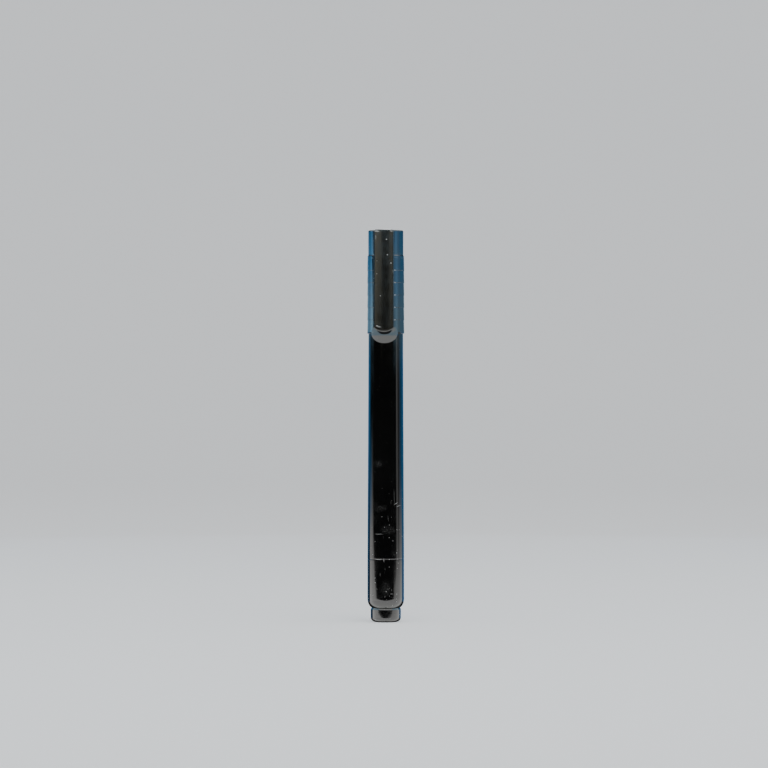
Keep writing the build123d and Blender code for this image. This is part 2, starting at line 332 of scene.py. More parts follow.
def make_cap_sleeve():
    """Cap: sawtooth rings below a narrower crown, and a gate mark in the flat top."""
    gate_r, gate_depth = 0.8, 0.12
    tooth = 0.045
    bore_step_low_z, bore_step_high_z = CAP_MOUTH_Z + 10, CAP_MOUTH_Z + 12
    path = [(CAP_BORE_R, CAP_MOUTH_Z, 0.12), (CAP_RIM_R, CAP_MOUTH_Z, 0.15), (CAP_RIM_R, RING_BOTTOM_Z, 0)]
    for ring in range(1, RING_COUNT + 1):
        ring_z = RING_BOTTOM_Z + ring * RING_PITCH
        path += [(CAP_BAND_TOP_R, ring_z, 0.02), (CAP_RIM_R, ring_z, tooth)]
    path += [
        (CAP_BAND_TOP_R, CROWN_LEDGE_BOTTOM_Z, 0.1),
        (CAP_CROWN_R, CROWN_LEDGE_TOP_Z, 0.12),
        (CAP_CROWN_R, CAP_TOP_Z, 0.35),
        (gate_r + 0.1, CAP_TOP_Z, 0.05),
        (gate_r, CAP_TOP_Z - gate_depth, 0.06),
        (0, CAP_TOP_Z - gate_depth, 0),
        (0, LINER_POCKET_HIGH_Z, 0),
        (LINER_POCKET_R, LINER_POCKET_HIGH_Z, 0.1),
        (LINER_POCKET_R, LINER_POCKET_LOW_Z, 0.1),
        (CAP_INNER_R, LINER_POCKET_LOW_Z, 0.3),
        (CAP_INNER_R, bore_step_high_z, 0),
        (CAP_BORE_R, bore_step_low_z, 0),
    ]
    return turned("cap_sleeve", path)


def make_nose():
    """Nose piece: spigot, flange, cone and sealing collar."""
    path = [
        (NOSE_CORE_R, nose_low.z, 0.1),
        (BORE_R - SPIGOT_CLEARANCE, nose_low.z, 0.3),
        (BORE_R - SPIGOT_CLEARANCE, NECK_TOP_Z, 0.04),
        (nose_high.x, NECK_TOP_Z, 0.12),
        (nose_high.x, NOSE_FLANGE_TOP_Z, 0.2),
        (NOSE_CONE_R, NOSE_FLANGE_TOP_Z, 0.15),
        (NOSE_COLLAR_R, NOSE_CONE_TOP_Z, 0.6),
        (NOSE_COLLAR_R, nose_high.z, 0.5),
        (nib_high.x, nose_high.z, 0.12),
        (nib_high.x, NIB_SOCKET_Z, 0),
        (NOSE_CORE_R, NOSE_CORE_TOP_Z, 0),
    ]
    return turned("nose_cone", path)


def make_inner_cap():
    """Inner cap: flared mouth, sealing bore and a closed head in the crown's pocket."""
    path = [
        (LINER_MOUTH_R, liner_low.z, 0.1),
        (liner_high.x, liner_low.z, 0.15),
        (liner_high.x, LINER_TAPER_LOW_Z, 0.3),
        (LINER_HEAD_R, LINER_TAPER_HIGH_Z, 0.3),
        (LINER_HEAD_R, liner_high.z, 0.3),
        (0, liner_high.z, 0),
        (0, LINER_ROOF_Z, 0),
        (LINER_BORE_R, LINER_ROOF_Z, 0.4),
        (LINER_BORE_R, LINER_TAPER_LOW_Z, 0.1),
        (LINER_SEAL_R, LINER_SEAL_Z, 0.1),
        (LINER_SEAL_R, LINER_MOUTH_Z, 0.3),
    ]
    return turned("cap_liner", path)


def make_nib():
    """Nib: a pointed tail, a straight shank and a bullet tip, with a slightly fibrous skin."""
    fibre_depth, fibre_scale = 0.018, 5.0
    tail_r, tail_length, shank_top_z = 0.7, 2.5, 129.5
    bullet_start, bullet_tip_r, bullet_steps = 131.4, 0.55, 24
    rows = [(0, nib_low.z), (tail_r, nib_low.z), (nib_high.x, nib_low.z + tail_length)]
    rows += [(nib_high.x, z) for z in spread(nib_low.z + tail_length + 0.5, shank_top_z, 60)]
    tip_length = nib_high.z - bullet_start
    for step in range(bullet_steps + 1):
        t = step / bullet_steps
        radius = max(nib_high.x * math.cos(t * math.pi / 2) ** 0.7, bullet_tip_r * (1 - t))
        rows.append((radius, bullet_start + tip_length * math.sin(t * math.pi / 2)))
    rows[-1] = (0, nib_high.z)
    nib = lathe("felt_nib", rows, closed=False, segments=96)
    for vertex in nib.data.vertices:
        side = Vector((vertex.co.x, vertex.co.y, 0))
        if side.length > 1e-5:
            sample = Vector((vertex.co.x, vertex.co.y, vertex.co.z * 0.2)) / MM
            vertex.co -= side.normalized() * fibre_depth * MM * (1 + noise.noise(sample * fibre_scale)) / 2
    return nib


# Clip and thumb lip


def make_clip():
    """Clip: root block and springy arm in one strip, with a blunt ridge and a grip bump behind the tip."""
    edge_r, back_r = 0.28, 0.12
    bump_z, bump_r, bump_y = 108.8, 0.9, -7.72
    heel_r, heel_depth = 1.3, 0.9
    ridge_softness = 5.0
    lean_depth, lean_length = 0.22, 2.0
    arc_z = CLIP_TIP_Z + CLIP_TIP_R
    tip_turn = math.asin(CLIP_HALF / CLIP_TIP_R)
    tip_side_z = arc_z - CLIP_TIP_R * math.cos(tip_turn)
    corner_z = CAP_TOP_Z - CLIP_CORNER_R

    stations = [arc_z - CLIP_TIP_R * math.cos(tip_turn * i / 22) for i in range(23)]
    stations += spread(tip_side_z, bump_z - bump_r, 6)[1:]
    stations += [bump_z - bump_r * math.cos(math.pi * i / 14) for i in range(1, 15)]
    stations += spread(bump_z + bump_r, CLIP_SPLIT_Z - heel_r, 60)[1:]
    stations += [CLIP_SPLIT_Z - heel_r * (1 - math.sin(math.pi / 2 * i / 8)) for i in range(1, 9)]
    stations += spread(CLIP_SPLIT_Z + 0.002, corner_z, 8)
    stations += [corner_z + CLIP_CORNER_R * math.sin(math.pi / 2 * i / 12) for i in range(1, 13)]
    columns = spread(-1, 1, 28, power=1.7)

    def half_width(z):
        if z < tip_side_z:
            return math.sqrt(max(CLIP_TIP_R**2 - (arc_z - z) ** 2, 0))
        if z > corner_z:
            return CLIP_HALF - CLIP_CORNER_R + math.sqrt(max(CLIP_CORNER_R**2 - (z - corner_z) ** 2, 0))
        return CLIP_HALF

    def inside_by(x, z):
        """Distance from the clip's outline to a point inside it."""
        distance = min(CLIP_HALF - abs(x), CAP_TOP_Z - z)
        if z < arc_z:
            distance = min(distance, CLIP_TIP_R - math.hypot(x, arc_z - z))
        if z > corner_z and abs(x) > CLIP_HALF - CLIP_CORNER_R:
            corner = math.hypot(abs(x) - CLIP_HALF + CLIP_CORNER_R, z - corner_z)
            distance = min(distance, CLIP_CORNER_R - corner)
        return distance

    def front(x, z):
        """Front surface: two shallow facets that meet in a soft ridge, leaning back at the tip."""
        soft = ridge_softness
        slope = (CLIP_EDGE_Y - CLIP_RIDGE_Y) / (math.hypot(CLIP_HALF, soft) - soft)
        lean = lean_depth * max((CLIP_TIP_Z + lean_length - z) / lean_length, 0) ** 2
        return CLIP_RIDGE_Y + slope * (math.hypot(x, soft) - soft) + lean

    def rear(z):
        if z > CLIP_SPLIT_Z:
            return CLIP_ROOT_BACK_Y
        if z > CLIP_SPLIT_Z - heel_r:
            rise = (z - CLIP_SPLIT_Z + heel_r) / heel_r
            return CLIP_BACK_Y + heel_r * heel_depth * (1 - math.sqrt(max(1 - rise * rise, 0)))
        if abs(z - bump_z) < bump_r:
            return max(CLIP_BACK_Y, bump_y + math.sqrt(bump_r**2 - (z - bump_z) ** 2))
        return CLIP_BACK_Y

    def front_point(z, t):
        x = t * half_width(z)
        return (x, front(x, z) + edge_drop(inside_by(x, z), edge_r), z)

    def back_point(z, t):
        x = t * half_width(z)
        return (x, rear(z) - edge_drop(inside_by(x, z), back_r), z)

    return slab("pocket_clip", stations, columns, front_point, back_point)


def make_thumb_lip():
    """Thumb lip: an oval wedge on the cap's front whose foot reaches down over the barrel."""
    half_width, edge_r = 4.8, 0.16
    inner_r, root_r = 6.35, 6.0
    crest_r, crest_z = 7.75, 103.8
    under_clip_r, under_clip_z = 7.3, 105.2
    top_z, shoulder_reach = 106.8, 4.0
    height = CAP_MOUTH_Z - LIP_TIP_Z
    tip_r = inner_r + 0.08 + edge_r
    foot_rows = 26

    rows = [CAP_MOUTH_Z - height * math.cos(math.pi / 2 * i / foot_rows) for i in range(foot_rows)]
    rows = sorted(rows + [CAP_MOUTH_Z, crest_z] + spread(under_clip_z, top_z, 5))
    columns = spread(-1, 1, 40, power=1.7)

    def half_at(z):
        reach = height if z < CAP_MOUTH_Z else shoulder_reach
        return half_width * math.sqrt(max(1 - ((CAP_MOUTH_Z - z) / reach) ** 2, 0))

    def outer(z):
        if z <= crest_z:
            return tip_r + (crest_r - tip_r) * (z - LIP_TIP_Z) / (crest_z - LIP_TIP_Z)
        if z <= under_clip_z:
            return crest_r + (under_clip_r - crest_r) * (z - crest_z) / (under_clip_z - crest_z)
        return under_clip_r + (CAP_RIM_R - under_clip_r) * (z - under_clip_z) / (top_z - under_clip_z)

    def on_round(radius, x, z):
        return (x, -math.sqrt(radius**2 - x * x), z)

    def front_point(z, t):
        x = t * half_at(z)
        inside = half_at(z) - abs(x)
        if z < CAP_MOUTH_Z:
            scale = math.hypot(x / half_width, (CAP_MOUTH_Z - z) / height)
            inside = (1 - scale) * (half_width + height) / 2
        return on_round(outer(z) - edge_drop(inside, edge_r), x, z)

    def back_point(z, t):
        radius = inner_r if z <= CAP_MOUTH_Z else root_r
        return on_round(radius, t * half_at(z), z)

    return slab("thumb_lip", rows, columns, front_point, back_point)


# Materials


class Shader:
    """A small wrapper that adds nodes to one material."""

    def __init__(self, name):
        self.material = bpy.data.materials.new(name)
        self.material.use_nodes = True
        self.tree = self.material.node_tree
        self.bsdf = self.tree.nodes["Principled BSDF"]
        coordinates = self.tree.nodes.new("ShaderNodeTexCoord")
        self.place = coordinates.outputs["Object"]

    def add(self, kind, inputs=None, **settings):
        made = self.tree.nodes.new(kind)
        for key, value in settings.items():
            setattr(made, key, value)
        for key, value in (inputs or {}).items():
            self.feed(made.inputs[key], value)
        return made

    def feed(self, socket, value):
        if isinstance(value, bpy.types.NodeSocket):
            self.tree.links.new(value, socket)
        else:
            socket.default_value = value

    def stretched(self, scale, rotation=(0, 0, 0)):
        inputs = {"Vector": self.place, "Scale": scale, "Rotation": rotation}
        return self.add("ShaderNodeMapping", inputs).outputs["Vector"]

    def noise(self, scale, detail=3, roughness=0.5, vector=None):
        inputs = {"Vector": vector or self.place, "Scale": scale, "Detail": detail, "Roughness": roughness}
        return self.add("ShaderNodeTexNoise", inputs).outputs["Fac"]

    def cells(self, scale, vector=None):
        inputs = {"Vector": vector or self.place, "Scale": scale}
        return self.add("ShaderNodeTexVoronoi", inputs)

    def fit(self, value, low, high, to_low=0.0, to_high=1.0):
        inputs = {"Value": value, "From Min": low, "From Max": high, "To Min": to_low, "To Max": to_high}
        made = self.add("ShaderNodeMapRange", inputs, interpolation_type="SMOOTHSTEP")
        return made.outputs["Result"]

    def math(self, operation, a, b=0.0):
        return self.add("ShaderNodeMath", {0: a, 1: b}, operation=operation).outputs[0]

    def times(self, a, b):
        return self.math("MULTIPLY", a, b)

    def most(self, *masks):
        top = masks[0]
        for mask in masks[1:]:
            top = self.math("MAXIMUM", top, mask)
        return top

    def height(self):
        return self.add("ShaderNodeSeparateXYZ", {"Vector": self.place}).outputs["Z"]

    def mix(self, factor, a, b):
        made = self.add("ShaderNodeMix", data_type="RGBA")
        self.feed(made.inputs["Factor"], factor)
        self.feed(made.inputs["A"], a)
        self.feed(made.inputs["B"], b)
        return made.outputs["Result"]

    def bump(self, height, depth, normal=None):
        inputs = {"Height": height, "Distance": depth, "Strength": 1.0}
        if normal is not None:
            inputs["Normal"] = normal
        return self.add("ShaderNodeBump", inputs).outputs["Normal"]

    def specks(self, scale, size, share):
        """Mask of small dots: one in each cell whose random number is below share."""
        cells = self.cells(scale)
        near = self.fit(cells.outputs["Distance"], size, size * 0.55)
        red = self.add("ShaderNodeSeparateColor", {"Color": cells.outputs["Color"]}).outputs["Red"]
        return self.times(near, self.math("LESS_THAN", red, share))

    def scratches(self, scale, stretch, rotation, low, high):
        """Mask of thin lines: stretched noise, cut to its crests."""
        lines = self.noise(scale, 2, 0.4, self.stretched(stretch, rotation))
        return self.fit(lines, low, high)

    def spot(self, centre, radii, tilt=0.0):
        """Soft mask round one place, all in millimetres; tilt turns it in the front plane, in degrees."""
        moved = self.add(
            "ShaderNodeVectorMath", {0: self.place, 1: [v * MM for v in centre]}, operation="SUBTRACT"
        ).outputs[0]
        turned = self.add("ShaderNodeMapping", {"Vector": moved, "Rotation": (0, math.radians(tilt), 0)})
        inputs = {"Vector": turned.outputs["Vector"], "Scale": [1 / (r * MM) for r in radii]}
        scaled = self.add("ShaderNodeMapping", inputs).outputs["Vector"]
        far = self.add("ShaderNodeVectorMath", {0: scaled}, operation="LENGTH")
        return self.fit(far.outputs["Value"], 1.0, 0.2)

    def dress(self, colour, roughness, normal=None):
        self.feed(self.bsdf.inputs["Base Color"], colour)
        self.feed(self.bsdf.inputs["Roughness"], roughness)
        if normal is not None:
            self.feed(self.bsdf.inputs["Normal"], normal)
        return self.material


def rgb(red, green, blue):
    return (red, green, blue, 1.0)


def front_of(radius, x):
    """Depth of a cylinder's front surface at a sideways distance x."""
    return -math.sqrt(radius**2 - x * x)


def barrel_gloss():
    """Glossy black tube, scuffed towards the rear by handling."""
    s = Shader("barrel_gloss_black")
    worn = s.fit(s.height(), 0.060, 0.012)
    # Broad greasy smears where fingers hold the pen
    smears = s.most(
        s.spot((-2.4, front_of(BARREL_R, 2.4), 57.4), (2.6, 3, 1.7)),
        s.spot((-1.6, front_of(BARREL_R, 1.6), 41.4), (3.4, 3, 1.5), 8),
        s.spot((1.4, front_of(BARREL_R, 1.4), 33.6), (3.6, 3, 2.2), -10),
        s.spot((0.6, front_of(BARREL_R, 0.6), 12.4), (2.6, 3, 4.0)),
        s.times(worn, s.fit(s.noise(220, 4, 0.6), 0.56, 0.76)),
    )
    mottled = s.fit(s.noise(1500, 4, 0.7), 0.45, 0.75)
    haze = s.times(smears, s.math("ADD", 0.12, s.times(mottled, 0.6)))
    # Hairlines round the tube and short strokes across it, plus a painted highlight along the witness line,
    # brighter at its left and right ends
    hairlines_and_line_highlight = s.most(
        s.times(s.spot((-2.0, front_of(BARREL_R, 2.0), 32.1), (2.2, 3, 0.14), 1.0), 0.7),
        # Painted highlight: pale strokes on the witness line stand in for the light the groove catches
        s.times(s.spot((-2.1, front_of(BARREL_R, 2.1), WITNESS_LINE_Z), (1.7, 3, 0.16), -2.0), 0.9),
        s.times(s.spot((4.6, front_of(BARREL_R, 4.6), WITNESS_LINE_Z + 0.1), (0.5, 2, 0.16)), 0.6),
        s.spot((4.1, front_of(BARREL_R, 4.1), 43.1), (1.2, 2, 0.14), 32.0),
        s.spot((5.0, front_of(BARREL_R, 5.0), 42.2), (1.1, 2, 0.14), 24.0),
        s.times(s.spot((3.5, front_of(BARREL_R, 3.5), 45.4), (0.12, 2, 4.5), 1.2), 0.3),
    )
    fine = s.times(worn, s.scratches(1500, (1, 1, 0.22), (0.25, 0.15, 0.0), 0.70, 0.80))
    cross = s.times(worn, s.scratches(1300, (0.2, 1, 1), (0.0, 0.5, 0.6), 0.71, 0.80))
    dots = s.times(s.specks(1150, 0.2, 0.10), s.math("ADD", 0.12, worn))
    chips = s.times(s.spot((1.4, front_of(BARREL_R, 1.4), 10.6), (2.4, 3, 3.0)), s.specks(1700, 0.34, 0.42))
    marks = s.most(s.times(hairlines_and_line_highlight, 0.75), s.times(fine, 0.5), s.times(cross, 0.4), dots, chips)
    # Pale mix of real smears, scratches, dust and chips, plus the painted witness-line highlight
    grime_and_highlights = s.math("MINIMUM", s.math("ADD", marks, s.times(haze, 0.2)), 1.0)
    colour = s.mix(grime_and_highlights, rgb(0.0022, 0.0022, 0.0022), rgb(0.30, 0.295, 0.28))
    film = s.fit(s.noise(90, 3, 0.5), 0.3, 0.75, 0.06, 0.13)
    rough = s.math("ADD", film, s.times(grime_and_highlights, 0.45))
    flow = s.bump(s.noise(120, 2, 0.4), 0.000012)
    s.bsdf.inputs["IOR"].default_value = 1.5
    return s.dress(colour, s.math("MINIMUM", rough, 0.9), s.bump(grime_and_highlights, 0.000005, flow))


def cap_gloss():
    """Glossy cap plastic, a little cooler than the barrel, with rubbed ring edges and painted glints on the
    ring edges beside the clip.
    """
    s = Shader("cap_gloss_black")
    above = s.math("SUBTRACT", s.height(), RING_BOTTOM_Z * MM)
    rings = s.math("FRACT", s.math("DIVIDE", above, RING_PITCH * MM))
    near_ring = s.most(s.fit(rings, 0.035, 0.0), s.fit(rings, 0.975, 1.0))
    sleeve = s.fit(s.height(), 0.1326, 0.1322)
    pale_marks = s.times(s.times(near_ring, sleeve), s.fit(s.noise(700, 3, 0.6), 0.40, 0.62))
    dots = s.times(s.specks(1000, 0.2, 0.05), 0.7)
    hair = s.scratches(1500, (1, 1, 0.2), (0.2, 0.1, 0.0), 0.73, 0.8)
    # Painted glints: pale dots on the ring edges, just to the right of the clip, stand in for light caught
    # there
    ring_glints = s.most(*(
        s.spot((3.75, front_of(CAP_RIM_R, 3.75), RING_BOTTOM_Z + ring * RING_PITCH), (0.42, 1.2, 0.34))
        for ring in range(1, RING_COUNT + 1)
    ))
    # Pale mix of real rubbing, dust and hairlines, plus the painted ring glints
    grime_and_highlights = s.most(s.times(pale_marks, 0.22), dots, s.times(hair, 0.25), s.times(ring_glints, 0.9))
    colour = s.mix(grime_and_highlights, rgb(0.0030, 0.0036, 0.0050), rgb(0.32, 0.34, 0.37))
    film = s.fit(s.noise(130, 3, 0.5), 0.3, 0.75, 0.07, 0.15)
    flow = s.bump(s.noise(160, 2, 0.4), 0.000012)
    s.bsdf.inputs["IOR"].default_value = 1.5
    return s.dress(colour, s.math("ADD", film, s.times(grime_and_highlights, 0.35)), s.bump(grime_and_highlights, 0.000005, flow))


def clip_satin():
    """Satin warm black moulding with a fine grain, painted highlights at the top corners and the tip, a
    nick and a few pale specks.
    """
    s = Shader("clip_satin_black")
    drift = s.noise(210, 4, 0.6, s.stretched((1, 1, 0.45)))
    base = s.mix(s.fit(drift, 0.35, 0.65), rgb(0.0060, 0.0058, 0.0044), rgb(0.0120, 0.0116, 0.0090))
    dots = s.specks(780, 0.2, 0.12)
    hair = s.scratches(1300, (1, 1, 0.18), (0.1, 0.15, 0.2), 0.70, 0.79)
    # Painted highlights at the two top corners and at the tip's lower left, and a nick
    pale_marks = s.most(
        s.times(s.spot((-2.5, CLIP_EDGE_Y, 141.35), (1.3, 2, 0.4), -6), 0.6),
        s.times(s.spot((2.75, CLIP_EDGE_Y, 141.35), (0.7, 2, 0.34)), 0.5),
        s.spot((1.0, CLIP_RIDGE_Y, 138.4), (0.3, 2, 0.26)),
        s.times(s.spot((-1.9, CLIP_RIDGE_Y, 106.95), (1.4, 2, 0.4), -12), 0.35),
    )
    # Pale mix of real specks and hairlines, plus the painted highlights and the nick
    pale = s.most(s.times(dots, 0.8), s.times(hair, 0.22), pale_marks)
    colour = s.mix(pale, base, rgb(0.48, 0.48, 0.46))
    rough = s.math("ADD", s.fit(s.noise(420, 3, 0.6), 0.3, 0.7, 0.14, 0.21), s.times(pale, 0.3))
    grain = s.bump(s.noise(4200, 2, 0.5), 0.000004)
    s.bsdf.inputs["IOR"].default_value = 1.5
    return s.dress(colour, rough, s.bump(drift, 0.000015, grain))


def nose_black():
    """Satin black moulding of the nose, with ink haze near the nib."""
    s = Shader("nose_satin_black")
    haze = s.times(s.fit(s.height(), 0.1262, 0.1294), s.fit(s.noise(900, 3, 0.6), 0.35, 0.65))
    colour = s.mix(haze, rgb(0.016, 0.016, 0.016), rgb(0.12, 0.06, 0.012))
    rough = s.fit(s.noise(700, 3, 0.5), 0.3, 0.7, 0.26, 0.38)
    return s.dress(colour, rough, s.bump(s.noise(2600, 2, 0.5), 0.000006))


def liner_white():
    """Natural polyethylene: milky, waxy and faintly flow-marked."""
    s = Shader("liner_natural_white")
    flow = s.noise(240, 3, 0.5, s.stretched((1, 1, 0.3)))
    colour = s.mix(flow, rgb(0.74, 0.74, 0.70), rgb(0.84, 0.84, 0.81))
    s.bsdf.inputs["Subsurface Weight"].default_value = 0.25
    s.bsdf.inputs["Subsurface Radius"].default_value = (0.001, 0.001, 0.0009)
    s.bsdf.inputs["Subsurface Scale"].default_value = 0.6
    return s.dress(colour, s.fit(flow, 0.3, 0.7, 0.38, 0.5), s.bump(flow, 0.00001))


def felt(name, pale, stained, stain_low, stain_high):
    """Bonded fibres running along the pen, stained with ink between two heights."""
    s = Shader(name)
    fibres = s.noise(2600, 3, 0.6, s.stretched((1, 1, 0.12)))
    pores = s.cells(3800, s.stretched((1, 1, 0.35))).outputs["Distance"]
    edge = s.math("ADD", s.height(), s.times(s.noise(500, 3, 0.5), 0.002))
    soaked = s.mix(s.fit(edge, stain_low, stain_high), pale, stained)
    dark = s.mix(0.45, soaked, rgb(0.05, 0.022, 0.004))
    colour = s.mix(s.fit(fibres, 0.35, 0.6), dark, soaked)
    s.bsdf.inputs["Sheen Weight"].default_value = 0.3
    s.bsdf.inputs["Sheen Roughness"].default_value = 0.5
    weave = s.math("ADD", fibres, s.times(pores, 0.6))
    return s.dress(colour, s.fit(fibres, 0.3, 0.7, 0.95, 0.75), s.bump(weave, 0.00006))


def clear_film():
    """Thin clear wrap, slightly crinkled."""
    s = Shader("film_clear")
    crinkle = s.noise(380, 4, 0.6, s.stretched((1, 1, 0.4)))
    colour = s.mix(crinkle, rgb(0.8, 0.78, 0.72), rgb(0.9, 0.89, 0.85))
    s.bsdf.inputs["Alpha"].default_value = 0.35
    return s.dress(colour, s.fit(crinkle, 0.3, 0.7, 0.08, 0.2), s.bump(crinkle, 0.00005))


def paint(obj, material):
    """Gives every slot of an object this material."""
    if not obj.data.materials:
        obj.data.materials.append(material)
    for index in range(len(obj.data.materials)):
        obj.data.materials[index] = material


# The object

barrel_black = barrel_gloss()
cap_black = cap_gloss()

pieces = [
    (make_barrel(), "pen", ["barrel"], "barrel_plastic", barrel_black),
    (make_plug(), "pen", ["end_plug"], "barrel_plastic", barrel_black),
    (make_nose(), "pen", ["nib_section"], "nose_plastic", nose_black()),
    (
        make_nib(), "pen", ["nib"], "nib_felt",
        felt("nib_amber_felt", rgb(0.75, 0.62, 0.36), rgb(0.66, 0.34, 0.05), 0.126, 0.134),
    ),
    (make_cap_sleeve(), "cap", ["cap_shell"], "cap_plastic", cap_black),
    (make_thumb_lip(), "cap", [], "cap_plastic", cap_black),
    (make_inner_cap(), "liner", ["inner_cap"], "liner_plastic", liner_white()),
]
for obj, body, nodes, slot, material in pieces:
    paint(obj, material)
    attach(obj, body)
    if nodes:
        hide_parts(*nodes)

clip = make_clip()
paint(clip, clip_satin())
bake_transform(clip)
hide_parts("clip_root", "clip_arm")

paint(
    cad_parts["ink_reservoir"],
    felt("reservoir_amber_fibre", rgb(0.8, 0.72, 0.5), rgb(0.68, 0.38, 0.08), 0.02, 0.09),
)
paint(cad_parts["reservoir_film"], clear_film())


# Stage: a pale bowl to stand in, soft light from above, and reflectors that only gloss can see

CAMERA_TURN = 4.8
CAMERA_LENS = 135.0
SENSOR = 36.0
VIEW_WIDTH = 0.2789
VIEW_CENTRE_Z = 0.0863
VIEW_CENTRE_SIDE = -0.00065
RING_RADIUS = 0.6

# Reflector ring. Stops are (height in metres, value) or, for a fall, (degrees from the view, value).
# Inner is the angle where the light starts on that side, and gain is its brightness.

LOW_LEFT_INNER = [
    (-0.1, 8), (-0.07, 32), (-0.052, 46), (-0.0465, 54), (-0.0428, 58), (-0.0344, 61),
    (-0.0229, 75), (-0.0144, 77), (0.0025, 86), (0.0142, 88), (0.0368, 92),
]
LOW_LEFT_GAIN = [
    (-0.045, 3.9), (-0.0344, 3.8), (-0.0286, 3.2), (-0.0229, 2.85), (0.0025, 2.3), (0.0142, 1.35),
    (0.0253, 1.05), (0.0368, 0.6), (0.0484, 0.4), (0.06, 0.15), (0.075, 0.0),
]
LOW_RIGHT_INNER = [
    (-0.1, 8), (-0.07, 30), (-0.052, 42), (-0.0465, 49), (-0.0428, 52), (-0.0344, 50),
    (-0.0286, 57), (-0.0229, 68), (0.0025, 71),
]
LOW_RIGHT_GAIN = [
    (-0.045, 3.3), (-0.0344, 2.9), (-0.0286, 2.7), (-0.0229, 2.15), (0.0025, 1.3), (0.0142, 1.0),
    (0.0253, 0.72), (0.0368, 0.45), (0.083, 0.34), (0.106, 0.46),
]
CAP_LEFT_INNER = [(0.146, 87), (0.151, 89), (0.161, 91), (0.167, 95), (0.175, 98), (0.18, 99)]
CAP_LEFT_GAIN = [
    (0.1428, 4.8), (0.1462, 4.6), (0.1507, 3.5), (0.1611, 3.4), (0.1668, 2.9), (0.1753, 2.0),
]
CAP_LEFT_FALL = [(100, 1.0), (106, 0.72), (117, 0.42), (127, 0.27), (140, 0.2)]
CAP_RIGHT_GAIN = [(0.1462, 1.25), (0.1611, 1.05), (0.1753, 0.85), (0.1797, 0.75)]
CAP_RIGHT_FALL = [
    (60, 2.0), (71, 2.5), (79, 1.9), (87, 1.35), (96, 1.15), (106, 0.92), (117, 0.75), (131, 0.43),
    (150, 0.3),
]
LEFT_RIM = [(-0.03, 0.14), (0.02, 0.25), (0.06, 0.42)]
RIGHT_RIM = 0.36
COOL_RED = [(0.1, 0.16), (0.121, 0.5), (0.149, 0.48), (0.161, 0.27), (0.175, 0.17)]
COOL_BLUE = [(0.1, 2.3), (0.121, 1.4), (0.149, 1.48), (0.161, 1.9), (0.175, 2.15)]
SKY_LIGHT = 3.0
GROUND_LIGHT = 3.4
DISC_LIGHT = 3.5
RING_GLIMMER = 0.012
DISC_GLIMMER = 0.03


def towards(turn_deg):
    """Unit vector at this angle round the pen: 0 is the front, and positive is to the viewer's right."""
    turn = math.radians(turn_deg)
    return Vector((math.sin(turn), -math.cos(turn), 0))


def smooth(low, high, value):
    t = min(max((value - low) / (high - low), 0.0), 1.0)
    return t * t * (3 - 2 * t)


def band(low, high, soft, value):
    return smooth(low - soft, low + soft, value) * (1 - smooth(high - soft, high + soft, value))


def ramp(stops, value):
    """Straight lines between (place, level) stops."""
    if value <= stops[0][0]:
        return stops[0][1]
    for (a, low), (b, high) in zip(stops, stops[1:]):
        if value <= b:
            return low + (high - low) * (value - a) / (b - a)
    return stops[-1][1]


def plain_material(name, colour, strength):
    """Emitter whose colour is one value, or comes from the vertex layer that colour names."""
    material = bpy.data.materials.new(name)
    material.use_nodes = True
    nodes, links = material.node_tree.nodes, material.node_tree.links
    nodes.clear()
    emit = nodes.new("ShaderNodeEmission")
    emit.inputs["Strength"].default_value = strength
    if isinstance(colour, str):
        layer = nodes.new("ShaderNodeAttribute")
        layer.attribute_name = colour
        links.new(layer.outputs["Color"], emit.inputs["Color"])
    else:
        emit.inputs["Color"].default_value = colour
    out = nodes.new("ShaderNodeOutputMaterial")
    links.new(emit.outputs["Emission"], out.inputs["Surface"])
    return material


def gloss_only(obj):
    obj.visible_camera = False
    obj.visible_diffuse = False
    obj.visible_shadow = False
    return obj


def make_bowl():
    """Pale, softly lit floor that curves up all round into a wall."""
    flat_r, curve_r, wall_top = 1.5, 1.5, 3.4
    path = [(0, 0), (0.3, 0), (0.9, 0)]
    for step in range(31):
        turn = math.pi / 2 * step / 30
        path.append((flat_r + curve_r * math.sin(turn), curve_r * (1 - math.cos(turn))))
    path.append((flat_r + curve_r, wall_top))
    bowl = lathe("studio_bowl", [(r / MM, z / MM) for r, z in path], closed=False, segments=96)
    bowl.data.flip_normals()
    s = Shader("studio_pale")
    tone = s.mix(s.noise(3, 2, 0.5), rgb(0.56, 0.575, 0.59), rgb(0.58, 0.59, 0.60))
    s.feed(s.bsdf.inputs["Emission Color"], tone)
    s.bsdf.inputs["Emission Strength"].default_value = 0.78
    paint(bowl, s.dress(tone, 0.9))
    bowl.visible_glossy = False
    bowl.visible_shadow = False
    return bowl


def low_ring(turn, height):
    """Brightness of the part of the ring that the barrel and the plug reflect."""
    side = abs(turn)
    if turn < 0:
        inner = ramp(LOW_LEFT_INNER, height)
        return ramp(LOW_LEFT_GAIN, height) * band(inner, 118, 4.5, side)
    inner = ramp(LOW_RIGHT_INNER, height)
    gain = ramp(LOW_RIGHT_GAIN, height)
    dip = smooth(-0.02, 0.0, height) * band(84, 94, 3, side)
    line = (1.15 - gain) * smooth(0.0, 0.02, height) * band(72, 82, 2, side)
    return gain * band(inner, 123, 4.5, side) * (1 - 0.55 * dip) + line


def cap_ring(turn, height):
    """Brightness of the part of the ring that the cap's sides reflect."""
    side = abs(turn)
    if turn < 0:
        inner = ramp(CAP_LEFT_INNER, height)
        shade = ramp(CAP_LEFT_GAIN, height) * ramp(CAP_LEFT_FALL, side)
        return shade * smooth(inner - 2.5, inner + 2.5, side)
    return ramp(CAP_RIGHT_GAIN, height) * ramp(CAP_RIGHT_FALL, side) * smooth(46, 54, side)


